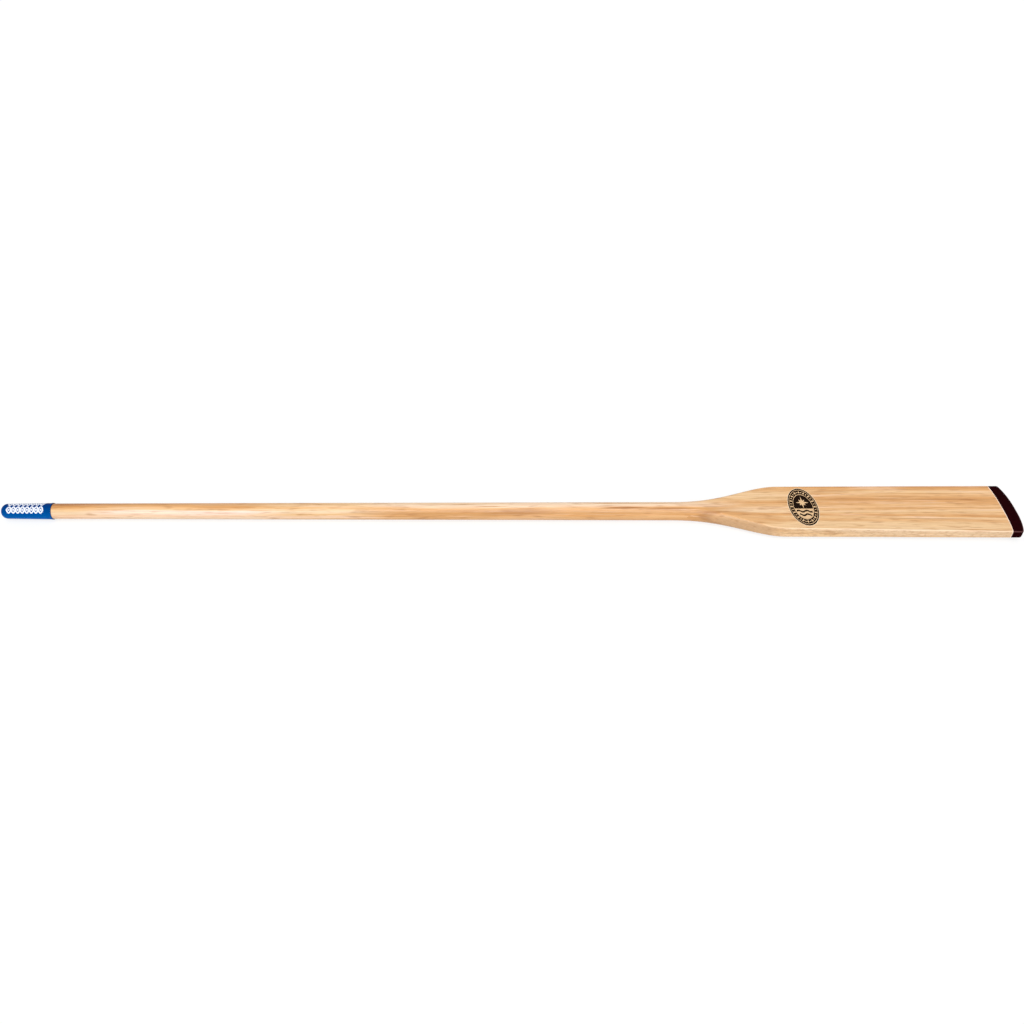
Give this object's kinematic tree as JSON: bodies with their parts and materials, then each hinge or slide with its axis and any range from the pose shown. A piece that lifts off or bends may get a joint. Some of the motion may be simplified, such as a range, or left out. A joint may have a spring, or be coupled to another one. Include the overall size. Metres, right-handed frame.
{
  "type": "oar",
  "caption": "Wooden rowing oar with a round loom, a straight-sided flat blade, a moulded tip guard and a domed grip sleeve.",
  "frame": {"origin": "middle of the oar's length and width, at the lowest point of the round loom it lies on", "axes": "+X along the oar from the grip to the blade's tip, +Y across the blade, +Z out of the blade's upper face"},
  "size_m": [2.134, 0.1456, 0.0382],
  "materials": {
    "loom_wood": "clear satin varnish",
    "wing_wood": "clear satin varnish",
    "guard_resin": "satin moulded",
    "grip_vinyl": "satin moulded",
    "label_film": "printed film"
  },
  "bodies": {
    "root": {"loom": "loom_wood", "blade_wing_left": "wing_wood", "blade_wing_right": "wing_wood", "tip_guard": "guard_resin", "grip_sleeve": "grip_vinyl", "oval_label": "label_film"}
  },
  "joints": []
}
